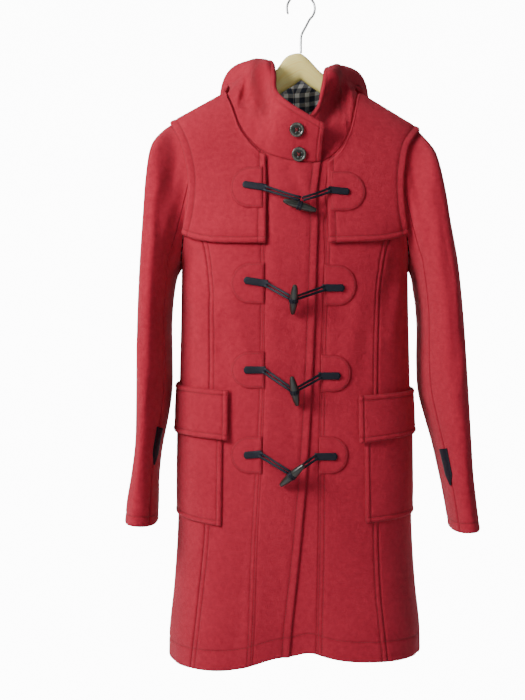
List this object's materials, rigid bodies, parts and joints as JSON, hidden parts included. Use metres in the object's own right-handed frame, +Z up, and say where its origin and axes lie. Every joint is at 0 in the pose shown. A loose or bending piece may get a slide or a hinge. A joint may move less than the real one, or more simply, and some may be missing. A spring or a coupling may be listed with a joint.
{
  "type": "duffle coat on a wooden hanger",
  "caption": "Buttoned red wool duffle coat with toggles, storm yoke, hood and flap pockets, on a wooden hanger",
  "frame": {"origin": "the point inside the top of the hanger's hook that bears on a rail", "axes": "+Z up, -Y out of the wearer's front, +X towards the wearer's left"},
  "size_m": [0.54, 0.268, 1.0378],
  "materials": {
    "wool": "matt fulled wool, red outside and checked inside",
    "leather": "soft navy leather",
    "horn": "polished dark horn",
    "wood": "clear lacquered pale wood",
    "steel": "plated wire"
  },
  "bodies": {
    "root": {"front_centre_right": "wool", "front_side_right": "wool", "front_centre_left": "wool", "front_side_left": "wool", "back_right": "wool", "back_left": "wool", "yoke_front_right": "wool", "yoke_front_left": "wool", "yoke_back": "wool", "sleeve_top_right": "wool", "sleeve_under_right": "wool", "sleeve_top_left": "wool", "sleeve_under_left": "wool", "hood_right": "wool", "hood_left": "wool", "pocket_right": "wool", "pocket_left": "wool", "flap_right": "wool", "flap_left": "wool", "patch_right_1": "wool", "patch_right_2": "wool", "patch_right_3": "wool", "patch_right_4": "wool", "patch_left_1": "wool", "patch_left_2": "wool", "patch_left_3": "wool", "patch_left_4": "wool", "strap_right_1": "leather", "strap_right_2": "leather", "strap_right_3": "leather", "strap_right_4": "leather", "strap_left_1": "leather", "strap_left_2": "leather", "strap_left_3": "leather", "strap_left_4": "leather", "toggle_1": "horn", "toggle_2": "horn", "toggle_3": "horn", "toggle_4": "horn", "button_upper": "horn", "button_lower": "horn", "cuff_tab_right": "leather", "cuff_tab_left": "leather", "hanger": "wood", "hook": "steel"}
  },
  "joints": []
}
